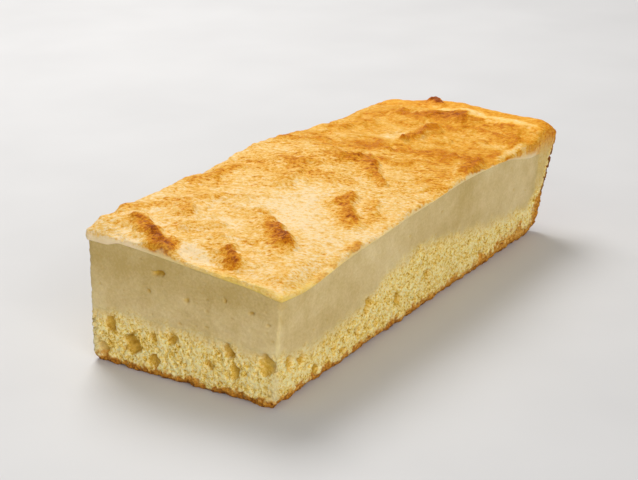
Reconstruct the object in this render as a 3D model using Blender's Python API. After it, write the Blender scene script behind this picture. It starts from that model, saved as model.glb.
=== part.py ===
"""Quark cheesecake: an oblong piece cut from the edge of a sheet-baked cake.

Three layers run through it, each a solid of its own:
  sponge_base    - sponge sheet that turns up into a wall where it met the side of the pan
  quark_filling  - dense baked quark on the sheet, up to the wall
  meringue_top   - thin baked foam over the quark, browned on its crags

+X points to the pan side, the cut faces are -X, -Y and +Y, and the piece stands on Z = 0.
"Near" is the -Y cut, "far" the +Y cut and "short" the -X cut. All lengths are in metres.
"""
import math
import random

import bmesh
import bpy
from mathutils import Vector, noise

MM = 0.001

# Driving sizes of the whole piece
HALF_LENGTH = 97.2 * MM
HALF_WIDTH = 37.9 * MM
CUT_HEIGHT = 40.0 * MM
LAYER_GAP = 0.3 * MM

# Cut faces: the knife leaned, so a face leaves its top edge by this much at the foot
SHORT_CUT_TOP_X = -94.1 * MM
SHORT_CUT_LEAN = (1.7 * MM, 3.1 * MM)
NEAR_CUT_LEAN = 3.4 * MM
FAR_CUT_LEAN = 1.6 * MM
FOOT_ROUNDING = 1.6 * MM
FOOT_ROUNDING_HEIGHT = 1.5 * MM

# Unevenness of the cut faces
CRUMB_LENGTH = 4.5 * MM
CRUMB_ON_QUARK = 0.12 * MM
CRUMB_ON_SPONGE = 0.45 * MM

# Pan side: the wall flares from its foot to its rim
WALL_FOOT_X = 86.0 * MM
WALL_FLARE = 11.2 * MM
WALL_FLARE_POWER = 1.25
WALL_FOOT_RADIUS = 5.0 * MM
WALL_INNER_X = 81.5 * MM
WALL_INNER_WAVE = 0.9 * MM
RIM_RADIUS = 4.0 * MM
RIM_CREST = 43.0 * MM
RIM_SWELL = 1.8 * MM
RIM_FALL = 1.2 * MM
RIM_STEP_X = (73.5 * MM, 86.5 * MM)

# Sponge sheet: its top swells to a hump, lower along the far cut, and turns up at both ends
SHEET_LOW = 14.8 * MM
HUMP_HEIGHT = (11.4 * MM, 6.6 * MM)
HUMP_X = -14.0 * MM
HUMP_REACH = (30.0 * MM, 48.0 * MM)
SHORT_CUT_RISE = 4.0 * MM
SHORT_CUT_RISE_REACH = 9.0 * MM
FILLET_RISE = 3.0 * MM
FILLET_REACH = 6.0 * MM
SHEET_WAVE = 0.9 * MM

# Quark: top along the near cut with its swell, sag and dip under the foam, and along the far cut
QUARK_NEAR = 39.2 * MM
QUARK_SWELL = 1.4 * MM
QUARK_SAG = 1.6 * MM
QUARK_DIP = 5.6 * MM
QUARK_FAR = (42.4 * MM, 38.6 * MM)
QUARK_SLUMP = 2.6 * MM

# Top of the piece: height along the near cut, rise towards the far cut, hollow by the short cut
TOP_NEAR = 39.4 * MM
TOP_NEAR_SWELL = 2.1 * MM
TOP_NEAR_SAG = 1.1 * MM
TOP_RISE = (7.0 * MM, 2.6 * MM)
SHORT_CUT_HOLLOW = 2.0 * MM
EDGE_SLUMP = 3.4 * MM
BILLOW = 0.9 * MM
WRINKLE = 0.7 * MM
FOAM_LEAST = 1.1 * MM

# Lattice cells of the whole block and of the surfaces between the layers
BLOCK_CELLS = (72, 28, 7)
LAYER_CELLS = (24, 10, 1)
ROW_CROWDING = 1.4
GUIDE_REACH = 12.0 * MM
ABOVE_CAKE = 60.0 * MM

# Browned crags of the meringue in millimetres: ends (x, y), half width at each end, height
CRAGS = [
    ((-86.0, 23.5), (-89.5, 15.8), (4.0, 3.0), 3.0),
    ((-89.5, 15.8), (-92.5, 6.5), (3.2, 4.4), 3.4),
    ((-92.0, 30.0), (-85.5, 25.5), (3.0, 3.0), 1.8),
    ((-80.5, 34.5), (-71.0, 26.0), (4.0, 3.5), 1.4),
    ((-66.0, 21.8), (-72.0, 15.0), (3.0, 3.6), 1.8),
    ((-65.9, 27.0), (-49.5, 8.5), (3.0, 2.6), 1.2),
    ((-80.5, 11.5), (-72.8, 2.0), (3.2, 3.0), 1.6),
    ((-77.2, -1.0), (-83.0, -9.2), (3.0, 3.4), 1.5),
    ((-83.0, -9.2), (-89.0, -16.0), (3.4, 3.8), 2.3),
    ((-55.2, -4.2), (-60.0, -12.5), (3.0, 3.6), 2.0),
    ((-60.0, -12.5), (-66.5, -21.5), (3.8, 4.4), 2.6),
    ((-22.3, -16.9), (-29.8, -17.9), (3.6, 3.0), 2.2),
    ((-29.8, -17.9), (-37.5, -26.5), (2.6, 4.2), 2.2),
    ((-22.3, -25.4), (-28.0, -28.0), (2.6, 2.4), 1.0),
    ((0.3, 5.2), (11.0, -3.0), (3.6, 4.0), 2.0),
    ((11.0, -3.0), (-2.7, -13.5), (4.2, 3.4), 2.2),
    ((-2.7, -13.5), (-6.0, -19.5), (3.0, 2.0), 1.4),
    ((-8.0, 20.5), (-3.0, 7.0), (3.0, 3.4), 1.6),
    ((27.0, -3.0), (38.0, -23.5), (3.0, 3.4), 1.7),
    ((38.0, -23.5), (37.0, -34.5), (3.4, 3.2), 2.0),
    ((41.0, -32.5), (23.0, -36.0), (3.0, 2.4), 2.0),
    ((40.5, -0.4), (64.5, -0.3), (2.6, 4.4), 2.2),
    ((74.5, 20.0), (73.0, 11.5), (2.8, 3.0), 1.8),
    ((77.5, 4.0), (79.5, -2.0), (4.4, 4.0), 1.6),
    ((92.0, 13.5), (90.0, 10.5), (2.6, 2.6), 3.0),
    ((73.5, -15.8), (68.5, -33.0), (3.6, 4.0), 1.5),
    ((-44.0, 33.0), (-26.0, 28.0), (4.6, 3.8), 1.5),
    ((-30.0, 6.0), (-14.0, 9.0), (3.6, 3.0), 1.2),
    ((10.0, 33.0), (20.0, 22.0), (4.0, 3.6), 1.4),
    ((40.0, 30.0), (58.0, 24.0), (4.2, 4.2), 1.6),
]

# Large pores of the sponge at the short cut in millimetres: y, z, radii across, in and up
SHORT_CUT_PORES = [
    (28.9, 14.6, 1.9, 2.2, 2.5),
    (20.0, 8.4, 2.6, 4.0, 3.8),
    (11.4, 12.9, 1.5, 1.6, 1.7),
    (11.1, 5.4, 1.6, 2.4, 3.0),
    (31.7, 4.6, 1.9, 2.2, 1.8),
    (-17.8, 15.2, 1.7, 2.4, 2.4),
    (-11.0, 9.1, 1.3, 1.6, 1.4),
    (-33.0, 14.4, 2.5, 3.2, 3.3),
]

# Air holes of the quark at the short cut in millimetres: y, z, radii across, in and up
SHORT_CUT_HOLES = [
    (9.1, 35.4, 2.3, 1.8, 0.9),
    (13.2, 28.6, 0.7, 0.8, 0.6),
    (-2.2, 28.7, 0.7, 0.8, 0.6),
    (-16.7, 31.9, 0.6, 0.8, 0.6),
    (-26.7, 30.2, 1.1, 0.8, 0.5),
]

# Seeded pores of the sponge on each cut face: how many, their radii and where they may lie
RANDOM_SEED = 11
SEEDED_PORES = {"short": 2, "near": 11, "far": 11}
SEEDED_RADII = (1.2 * MM, 2.2 * MM)
PORE_STRETCH = (0.8, 1.5)
PORE_SPACING = 6.2 * MM
PORE_MARGIN = 3.4 * MM
CORNER_MARGIN = 6.0 * MM
PORE_LUMPS = 0.28
LARGE_PORE_FACETS = 2
SMALL_PORE_FACETS = 1


def clamp(value):
    return min(max(value, 0.0), 1.0)


def ramp(value, start, end):
    """Smooth step from 0 at start to 1 at end."""
    step = clamp((value - start) / (end - start))
    return step * step * (3.0 - 2.0 * step)


def blend(start, end, share):
    return start + (end - start) * share


def bell(value, centre, reach):
    return math.exp(-((value - centre) / reach) ** 2)


def ripple(x, y, z, wavelength, shift):
    """Smooth noise between -1 and 1."""
    return noise.noise(Vector((x, y, z)) / wavelength + Vector((shift, 1.7 * shift, 2.3 * shift)))


def across(y):
    """0 at the near cut, 1 at the far cut."""
    return clamp((y + HALF_WIDTH) / (2.0 * HALF_WIDTH))


def upright(z):
    """1 at the foot of a cut face, 0 at its top edge."""
    return 1.0 - clamp(z / CUT_HEIGHT)


def round_off(share):
    """Quarter circle that falls from 0 to 1 as share runs from 0 to 1."""
    return 1.0 - math.sqrt(1.0 - clamp(share) ** 2)


def base_top(x, y):
    """Where the sponge sheet ends and the quark starts."""
    reach = HUMP_REACH[0] if x < HUMP_X else HUMP_REACH[1]
    height = SHEET_LOW + SHEET_WAVE * ripple(x, y, 0.0, 16.0 * MM, 5.3)
    height += blend(*HUMP_HEIGHT, across(y)) * bell(x, HUMP_X, reach)
    height += SHORT_CUT_RISE * bell(x, SHORT_CUT_TOP_X, SHORT_CUT_RISE_REACH)
    return height + FILLET_RISE * ramp(x, WALL_INNER_X - FILLET_REACH, WALL_INNER_X)


def quark_top(x, y):
    """Where the quark ends and the meringue starts."""
    near = QUARK_NEAR + QUARK_SWELL * bell(x, 18.0 * MM, 28.0 * MM)
    near -= QUARK_SAG * ramp(-x, 15.0 * MM, 60.0 * MM)
    near -= QUARK_DIP * ramp(x, 46.0 * MM, 80.0 * MM)
    far = blend(*QUARK_FAR, ramp(x, 0.0, 60.0 * MM))
    slump = QUARK_SLUMP * bell(x, -82.0 * MM, 17.0 * MM) * bell(y, -HALF_WIDTH, 8.0 * MM)
    return blend(near, far, ramp(across(y), 0.0, 1.0)) - slump


def wall_inner_x(y):
    """Inner side of the upturned wall."""
    return WALL_INNER_X + WALL_INNER_WAVE * ripple(0.0, y, 0.0, 14.0 * MM, 8.2)


def crag_height(x, y):
    """Height of the highest crag at a point of the top, its outline uneven."""
    highest = 0.0
    uneven = 1.15 + 0.35 * ripple(x, y, 0.0, 5.0 * MM, 3.1)
    for start, end, widths, height in CRAGS:
        ax, ay = start[0] * MM, start[1] * MM
        bx, by = end[0] * MM, end[1] * MM
        length_squared = (bx - ax) ** 2 + (by - ay) ** 2
        along = clamp(((x - ax) * (bx - ax) + (y - ay) * (by - ay)) / length_squared)
        away = math.hypot(x - blend(ax, bx, along), y - blend(ay, by, along))
        edge = blend(*widths, along) * MM * uneven
        highest = max(highest, height * MM * (1.0 - ramp(away, 0.25 * edge, 1.25 * edge)))
    return highest


def top_swell(x, y):
    """Top of the piece without its crags and wrinkles."""
    near = TOP_NEAR + TOP_NEAR_SWELL * ramp(x, -55.0 * MM, 15.0 * MM)
    near -= TOP_NEAR_SAG * ramp(x, 25.0 * MM, 60.0 * MM)
    rise = blend(*TOP_RISE, ramp(x, -5.0 * MM, 40.0 * MM))
    swell = near + rise * ramp(across(y), -0.08, 0.82)
    swell -= SHORT_CUT_HOLLOW * bell(x, SHORT_CUT_TOP_X, 11.0 * MM) * bell(y, 10.0 * MM, 20.0 * MM)
    crest = RIM_CREST + RIM_SWELL * bell(y, 2.0 * MM, 20.0 * MM)
    crest -= RIM_FALL * ramp(y, 10.0 * MM, HALF_WIDTH)
    return blend(swell, crest, ramp(x, *RIM_STEP_X))


def edge_slump(x, y):
    """How far the soft top bends down over the near corner and its edges."""
    along_near = bell(y, -HALF_WIDTH, 4.5 * MM) * ramp(-x, 60.0 * MM, 74.0 * MM)
    along_short = bell(x, SHORT_CUT_TOP_X, 3.5 * MM) * ramp(-y, -18.0 * MM, 14.0 * MM)
    return EDGE_SLUMP * max(along_near, 0.75 * along_short)


def top_z(x, y):
    """Top of the whole piece."""
    skin = top_swell(x, y) + crag_height(x, y) - edge_slump(x, y)
    skin += BILLOW * ripple(x, y, 0.0, 21.0 * MM, 1.3)
    skin += WRINKLE * ripple(x, 0.7 * y, 0.0, 9.0 * MM, 2.7)
    skin -= RIM_RADIUS * round_off((x - HALF_LENGTH + RIM_RADIUS) / RIM_RADIUS)
    if x < WALL_INNER_X:
        skin = max(skin, quark_top(x, y) + FOAM_LEAST)
    return skin


def foot(z):
    """Rounding of the crumbly bottom edges."""
    return FOOT_ROUNDING * math.exp(-z / FOOT_ROUNDING_HEIGHT)


def crumb(x, y, z):
    """Unevenness of a cut: coarse on the sponge, faint on the quark."""
    seam = base_top(x, y)
    depth = blend(CRUMB_ON_SPONGE, CRUMB_ON_QUARK, ramp(z, seam - 2.0 * MM, seam + 2.0 * MM))
    return depth * ripple(x, y, z, CRUMB_LENGTH, 6.1)


def short_cut_x(y, z):
    lean = blend(*SHORT_CUT_LEAN, across(y)) * upright(z)
    return SHORT_CUT_TOP_X - lean + foot(z) + crumb(SHORT_CUT_TOP_X, y, z)


def near_cut_y(x, z):
    return -HALF_WIDTH + NEAR_CUT_LEAN * upright(z) + foot(z) + crumb(x, -HALF_WIDTH, z)


def far_cut_y(x, z):
    return HALF_WIDTH - FAR_CUT_LEAN * upright(z) - foot(z) + crumb(x, HALF_WIDTH, z)


def pan_side_x(z):
    flare = WALL_FLARE * clamp(z / CUT_HEIGHT) ** WALL_FLARE_POWER
    return WALL_FOOT_X + flare - WALL_FOOT_RADIUS * round_off(1.0 - z / WALL_FOOT_RADIUS)


def lattice_block(name, cells, place):
    """A cube sliced into cells along each axis, its vertices moved by place(u, v, w), each 0 to 1."""
    shape = bmesh.new()
    bmesh.ops.create_cube(shape, size=1.0)
    bmesh.ops.translate(shape, verts=shape.verts, vec=(0.5, 0.5, 0.5))
    for axis, count in enumerate(cells):
        normal = [0.0, 0.0, 0.0]
        normal[axis] = 1.0
        for slice_index in range(1, count):
            point = [slice_index / count * part for part in normal]
            every_part = shape.verts[:] + shape.edges[:] + shape.faces[:]
            bmesh.ops.bisect_plane(shape, geom=every_part, plane_co=point, plane_no=normal)
    for vertex in shape.verts:
        vertex.co = place(*vertex.co)
    mesh = bpy.data.meshes.new(name)
    shape.to_mesh(mesh)
    shape.free()
    return mesh


def whole_block():
    """The whole piece before it is parted into layers, its flat bottom one face."""
    def place(u, v, w):
        plan_x = blend(-HALF_LENGTH, HALF_LENGTH, u)
        plan_y = blend(-HALF_WIDTH, HALF_WIDTH, v)
        z = w ** ROW_CROWDING * top_z(plan_x, plan_y)
        x = blend(short_cut_x(plan_y, z), pan_side_x(z), u)
        y = blend(near_cut_y(plan_x, z), far_cut_y(plan_x, z), v)
        return x, y, z

    mesh = lattice_block("whole_block", BLOCK_CELLS, place)
    shape = bmesh.new()
    shape.from_mesh(mesh)
    bottom = [face for face in shape.faces if face.calc_center_median().z < 0.1 * MM]
    bmesh.ops.dissolve_faces(shape, faces=bottom, use_verts=False)
    shape.to_mesh(mesh)
    shape.free()
    return mesh


def hide_cutter(cutter, collection):
    cutter.hide_render = True
    cutter.display_type = "WIRE"
    collection.objects.link(cutter)


def layer_guide(name, bottom, top, past_wall):
    """A slab between two surfaces that sticks out of every cut face and ends at the wall."""
    def place(u, v, w):
        y = blend(-HALF_WIDTH - GUIDE_REACH, HALF_WIDTH + GUIDE_REACH, v)
        x = blend(-HALF_LENGTH - GUIDE_REACH, wall_inner_x(y) + past_wall, u)
        return x, y, blend(bottom(x, y), top(x, y), w)

    guide = bpy.data.objects.new(name, lattice_block(name, LAYER_CELLS, place))
    hide_cutter(guide, cutters)
    return guide


def hollow(name, centre, radii, facets, collection):
    """A lumpy ellipsoid that leaves a pore."""
    shape = bmesh.new()
    bmesh.ops.create_icosphere(shape, subdivisions=facets, radius=1.0)
    for vertex in shape.verts:
        swell = 1.0 + PORE_LUMPS * noise.noise(vertex.co * 1.3 + Vector(centre) / MM)
        offset = Vector(part * radius for part, radius in zip(vertex.co, radii))
        vertex.co = Vector(centre) + offset * swell
    mesh = bpy.data.meshes.new(name)
    shape.to_mesh(mesh)
    shape.free()
    hide_cutter(bpy.data.objects.new(name, mesh), collection)


def short_cut_hollows(prefix, sizes, collection):
    for index, (y, z, across_radius, in_radius, up_radius) in enumerate(sizes):
        centre = (short_cut_x(y * MM, z * MM), y * MM, z * MM)
        radii = (in_radius * MM, across_radius * MM, up_radius * MM)
        hollow(f"{prefix}_{index:02d}", centre, radii, LARGE_PORE_FACETS, collection)


def drawn_pore_centre(face, draw):
    """A random point of the sponge on one cut face."""
    x = draw.uniform(SHORT_CUT_TOP_X + CORNER_MARGIN, WALL_INNER_X - CORNER_MARGIN)
    y = draw.uniform(-HALF_WIDTH + CORNER_MARGIN, HALF_WIDTH - CORNER_MARGIN)
    if face == "short":
        z = draw.uniform(PORE_MARGIN, base_top(SHORT_CUT_TOP_X, y) - PORE_MARGIN)
        return Vector((short_cut_x(y, z), y, z))
    if face == "near":
        z = draw.uniform(PORE_MARGIN, base_top(x, -HALF_WIDTH) - PORE_MARGIN)
        return Vector((x, near_cut_y(x, z), z))
    z = draw.uniform(PORE_MARGIN, base_top(x, HALF_WIDTH) - PORE_MARGIN)
    return Vector((x, far_cut_y(x, z), z))


def seeded_pores(collection):
    """Small pores spread over the sponge on the three cut faces, clear of each other."""
    draw = random.Random(RANDOM_SEED)
    taken = [Vector((short_cut_x(y * MM, z * MM), y * MM, z * MM)) for y, z, *_ in SHORT_CUT_PORES]
    for face, count in SEEDED_PORES.items():
        placed = 0
        while placed < count:
            centre = drawn_pore_centre(face, draw)
            if any((centre - other).length < PORE_SPACING for other in taken):
                continue
            taken.append(centre)
            radius = draw.uniform(*SEEDED_RADII)
            radii = (radius, radius, radius * draw.uniform(*PORE_STRETCH))
            hollow(f"pore_{face}_{placed:02d}", centre, radii, SMALL_PORE_FACETS, collection)
            placed += 1


def matte_material(name, colour, roughness):
    material = bpy.data.materials.new(name)
    material.use_nodes = True
    shader = material.node_tree.nodes["Principled BSDF"]
    shader.inputs["Base Color"].default_value = (*colour, 1.0)
    shader.inputs["Roughness"].default_value = roughness
    shader.inputs["Metallic"].default_value = 0.0
    return material


def add_boolean(piece, name, operation):
    boolean = piece.modifiers.new(name, "BOOLEAN")
    boolean.operation = operation
    boolean.solver = "EXACT"
    return boolean


def layer(name, material, guide, operation):
    """A copy of the whole block, cut to one layer."""
    mesh = block_mesh.copy()
    mesh.name = name
    mesh.materials.append(material)
    piece = bpy.data.objects.new(name, mesh)
    cake.objects.link(piece)
    add_boolean(piece, "trim_to_layer", operation).object = guide
    return piece


def cut_hollows(piece, collection):
    piece.modifiers.new("even_faces", "TRIANGULATE")
    cut = add_boolean(piece, "cut_hollows", "DIFFERENCE")
    cut.operand_type = "COLLECTION"
    cut.collection = collection


def new_collection(name, parent):
    collection = bpy.data.collections.new(name)
    parent.children.link(collection)
    return collection


for old in list(bpy.data.objects):
    bpy.data.objects.remove(old, do_unlink=True)

cake = new_collection("quark_cheesecake", bpy.context.scene.collection)
cutters = new_collection("cutters", bpy.context.scene.collection)
sponge_pores = new_collection("sponge_pores", cutters)
quark_holes = new_collection("quark_holes", cutters)

block_mesh = whole_block()

filling_room = layer_guide(
    "filling_room",
    lambda x, y: base_top(x, y) - LAYER_GAP,
    lambda x, y: ABOVE_CAKE,
    LAYER_GAP,
)
quark_room = layer_guide("quark_room", base_top, quark_top, 0.0)
foam_room = layer_guide(
    "foam_room",
    lambda x, y: quark_top(x, y) + LAYER_GAP,
    lambda x, y: ABOVE_CAKE,
    0.0,
)

short_cut_hollows("pore_large", SHORT_CUT_PORES, sponge_pores)
seeded_pores(sponge_pores)
short_cut_hollows("air_hole", SHORT_CUT_HOLES, quark_holes)

sponge_material = matte_material("sponge", (0.80, 0.60, 0.24), 0.85)
quark_material = matte_material("quark", (0.80, 0.70, 0.40), 0.55)
meringue_material = matte_material("meringue", (0.85, 0.52, 0.17), 0.6)

sponge = layer("sponge_base", sponge_material, filling_room, "DIFFERENCE")
cut_hollows(sponge, sponge_pores)
quark = layer("quark_filling", quark_material, quark_room, "INTERSECT")
cut_hollows(quark, quark_holes)
layer("meringue_top", meringue_material, foam_room, "INTERSECT")
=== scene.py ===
"""Looks of a cut piece of quark cheesecake: open sponge crumb, smooth quark, browned foam top.

The three layers of the frame are rebuilt as fine meshes over shared shape functions. Each is
the shell of a lattice whose points are placed by (u, v, w), each 0 to 1: u runs from the short
cut to the pan side, v from the near long cut to the far one, w from the underside to the top.
All lengths are in metres unless a comment says millimetres.
"""
import math
import random

import bmesh
import bpy
import numpy as np
from mathutils import Matrix, Vector, noise


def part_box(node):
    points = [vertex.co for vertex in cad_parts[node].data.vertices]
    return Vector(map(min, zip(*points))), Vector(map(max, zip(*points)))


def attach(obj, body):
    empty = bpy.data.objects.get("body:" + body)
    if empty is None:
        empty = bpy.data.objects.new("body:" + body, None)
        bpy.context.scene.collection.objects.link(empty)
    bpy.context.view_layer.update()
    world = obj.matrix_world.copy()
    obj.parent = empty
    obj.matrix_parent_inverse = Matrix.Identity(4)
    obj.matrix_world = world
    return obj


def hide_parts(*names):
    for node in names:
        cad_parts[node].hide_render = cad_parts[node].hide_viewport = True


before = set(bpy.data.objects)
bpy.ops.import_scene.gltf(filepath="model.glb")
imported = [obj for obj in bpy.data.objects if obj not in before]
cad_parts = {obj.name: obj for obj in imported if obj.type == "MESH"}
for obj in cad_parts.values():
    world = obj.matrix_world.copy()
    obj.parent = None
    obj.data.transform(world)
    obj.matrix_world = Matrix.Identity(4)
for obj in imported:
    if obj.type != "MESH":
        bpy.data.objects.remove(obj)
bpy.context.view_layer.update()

MM = 0.001

# Driving sizes, the first read from the frame
HALF_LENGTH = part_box("sponge_base")[1].x
HALF_WIDTH = 37.9 * MM
CUT_HEIGHT = 40.0 * MM

# Cut faces: the knife leaned, so a face leaves its top edge by this much at the foot
SHORT_CUT_TOP_X = -94.1 * MM
SHORT_CUT_LEAN = (1.7 * MM, 3.1 * MM)
NEAR_CUT_LEAN = 3.4 * MM
FAR_CUT_LEAN = 1.6 * MM
FOOT_ROUNDING = 1.3 * MM
FOOT_ROUNDING_HEIGHT = 1.5 * MM
FOOT_RAGGED = 0.9
CORNER_ROUNDING = 0.5 * MM
CORNER_ROUNDING_REACH = 0.8 * MM

# Pan side: the wall flares from its foot to its rim
WALL_FOOT_X = 86.0 * MM
WALL_FLARE = 11.2 * MM
WALL_FLARE_POWER = 1.25
WALL_FOOT_RADIUS = 5.0 * MM
WALL_INNER_X = 81.5 * MM
WALL_INNER_WAVE = 0.9 * MM
RIM_RADIUS = 4.0 * MM
RIM_CREST = 43.0 * MM
RIM_SWELL = 1.8 * MM
RIM_FALL = 1.2 * MM
RIM_DROOP = 2.2 * MM
RIM_SKIN_X = 89.0 * MM
RIM_STEP_X = (73.5 * MM, 86.5 * MM)

# Sponge sheet: its top swells to a hump, lower along the far cut, and turns up at both ends
SHEET_LOW = 14.8 * MM
HUMP_HEIGHT = (11.4 * MM, 6.6 * MM)
HUMP_X = -14.0 * MM
HUMP_REACH = (30.0 * MM, 48.0 * MM)
SHORT_CUT_RISE = 4.0 * MM
SHORT_CUT_RISE_REACH = 9.0 * MM
FILLET_RISE = 3.0 * MM
FILLET_REACH = 6.0 * MM
SHEET_WAVE = 0.9 * MM

# Quark: top along the near cut with its swell, sag and dip under the foam, and along the far cut
QUARK_NEAR = 39.2 * MM
QUARK_SWELL = 1.4 * MM
QUARK_SAG = 1.6 * MM
QUARK_DIP = 5.6 * MM
QUARK_FAR = (42.4 * MM, 38.6 * MM)
QUARK_SLUMP = 2.6 * MM
QUARK_DROOP = 1.7 * MM

# Top of the piece: height along the near cut, rise towards the far cut, hollow by the short cut
TOP_NEAR = 39.4 * MM
TOP_NEAR_SWELL = 2.1 * MM
TOP_NEAR_SAG = 1.1 * MM
TOP_RISE = (7.0 * MM, 2.6 * MM)
SHORT_CUT_HOLLOW = 2.0 * MM
EDGE_SLUMP = 3.4 * MM
BILLOW = 0.9 * MM
WRINKLE = 0.7 * MM
FOAM_LEAST = 1.1 * MM

# Lattice cells along (u, v, w), the share of faces kept when the hidden sides are thinned, and
# the share of the lattice left alone at the short cut and at the other sides
SPONGE_CELLS = (520, 170, 44)
QUARK_CELLS = (350, 152, 48)
MERINGUE_CELLS = (392, 170, 9)
SPONGE_KEPT = 0.41
QUARK_KEPT = 0.42
MERINGUE_KEPT = 0.6
SHORT_CUT_BORDER = 0.012
SIDE_BORDER = 0.015

# The sponge's lattice: u up to here is the sheet and the rest is the wall, whose first cells fan
# out round its foot up to this height
SHEET_SHARE = 0.79
WALL_FAN_SHARE = 0.38
WALL_FAN_HEIGHT = 18.0 * MM

# Relief of the cut faces
SEAM_UNEVEN = 2.0 * MM
CRUMB_GRAIN = 0.18 * MM
CRUMB_PROUD = 0.15 * MM
QUARK_WAVES = 0.07 * MM
QUARK_DRAGS = 0.03 * MM
QUARK_MARKS = 0.16 * MM
RELIEF_REACH = 1.6 * MM
FOAM_BULGE = 0.3 * MM
FOAM_LUMPS = 0.22 * MM
FOAM_CUT_LEAST = 0.9 * MM

# Brown crust of the foot and the pan side: thickness, extra at the far end of the foot, loss up
# the wall, lumps
CRUST_THICK = 3.0 * MM
CRUST_FAR_END = 3.4 * MM
CRUST_THINNER = 1.5 * MM
CRUST_LUMPS = 0.55 * MM
PAN_SIDE_LUMPS = 0.14 * MM

# Pale smear down the corners of the short cut: its reach at the top and at the foot
SMEAR_REACH = (1.2 * MM, 2.6 * MM)

# Browning of the top: level at the short cut, rise towards the pan side, level of the rim
BROWN_LEVEL = 0.24
BROWN_RISE = 0.31
BROWN_RIM = 0.59
FOLD_BROWN = 0.14

# Relief of the skin: folds, low bumps, fine wrinkles, roughness of the crags
FOLD_STEP = 0.42 * MM
SKIN_BUMPS = 0.22 * MM
SKIN_WRINKLES = 0.18 * MM
CRAG_RIDGES = 1.0 * MM
CRAG_GRAIN = 0.3 * MM

# Crags of the top in millimetres: ends (x, y), half width at each end, height, browning
CRAGS = [
    ((-91, 36.5), (-89, 33), (4.5, 4), 1.6, 0.3),
    ((-85.5, 24.5), (-89.5, 18), (4, 3), 2.6, 0.82),
    ((-90.1, 15.9), (-93.2, 7.4), (3.3, 6.9), 2.7, 1),
    ((-92, 30), (-85.5, 25.5), (3, 3), 1.8, 0.42),
    ((-80.5, 34.5), (-71, 26), (4, 3.5), 1.4, 0.6),
    ((-66, 21.8), (-72, 15), (3, 3.6), 1.8, 0.6),
    ((-65.9, 27), (-49.5, 8.5), (3, 2.6), 1.2, 0.55),
    ((-80.5, 11.5), (-72.8, 2), (3.2, 3), 1.6, 0.48),
    ((-78.5, -1), (-84.5, -9), (2.8, 2.8), 1.2, 0.42),
    ((-85, -9.5), (-89.8, -15.8), (2.3, 3.3), 2.1, 0.88),
    ((-55, -2.5), (-61, -12), (3, 3.4), 2, 0.6),
    ((-62, -12.5), (-69, -21), (3.8, 4.6), 2.5, 0.92),
    ((-22.3, -16.9), (-29.8, -17.9), (3, 2.6), 2.2, 0.78),
    ((-29.8, -17.9), (-39.5, -28), (2.6, 4.4), 2, 0.8),
    ((-22.3, -25.4), (-28, -28), (2.6, 2.4), 1, 0.6),
    ((0.3, 5.2), (11, -3), (3.4, 3.6), 2, 0.74),
    ((11, -3), (-2.7, -13.5), (4, 3.2), 2.2, 0.82),
    ((2, -1), (7, -6), (3, 3), 1.2, 0.86),
    ((-2.7, -13.5), (-6, -19.5), (3, 2), 1.4, 0.75),
    ((-12, 18), (-8, 7), (3.2, 3.4), 1.6, 0.74),
    ((27, -3), (36, -23.5), (3.2, 3.8), 1.7, 0.8),
    ((38, -23.5), (37, -34.5), (3.4, 3.2), 2, 0.84),
    ((41, -32.5), (23, -36), (3, 2.4), 2, 0.85),
    ((40.5, -0.4), (64.5, -0.3), (2.6, 4.4), 2.2, 0.82),
    ((74.5, 20), (73.5, 8), (3, 3.4), 1.8, 0.84),
    ((78, 5), (80, -4.5), (5.4, 5.6), 1.6, 0.92),
    ((92, 13.5), (90, 10.5), (2.4, 2.4), 2, 1.15),
    ((73.5, -15.8), (68.5, -33), (3.6, 4), 1.5, 0.78),
    ((-44, 33), (-26, 28), (4.6, 3.8), 1.5, 0.7),
    ((-30, 6), (-14, 9), (3.6, 3), 1.2, 0.55),
    ((10, 33), (20, 22), (4, 3.6), 1.4, 0.75),
    ((40, 30), (58, 24), (4.2, 4.2), 1.6, 0.7),
    ((-76, -38), (-72.5, -37.5), (1.8, 1.5), 0.4, 0.66),
    ((-67, -37.5), (-64.5, -37), (1.6, 1.4), 0.4, 0.6),
    ((-57, -38), (-52.5, -37), (1.8, 1.8), 0.7, 0.72),
    ((-20, -37.5), (-14, -38), (1.5, 1.2), 0.3, 0.56),
]

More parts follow.
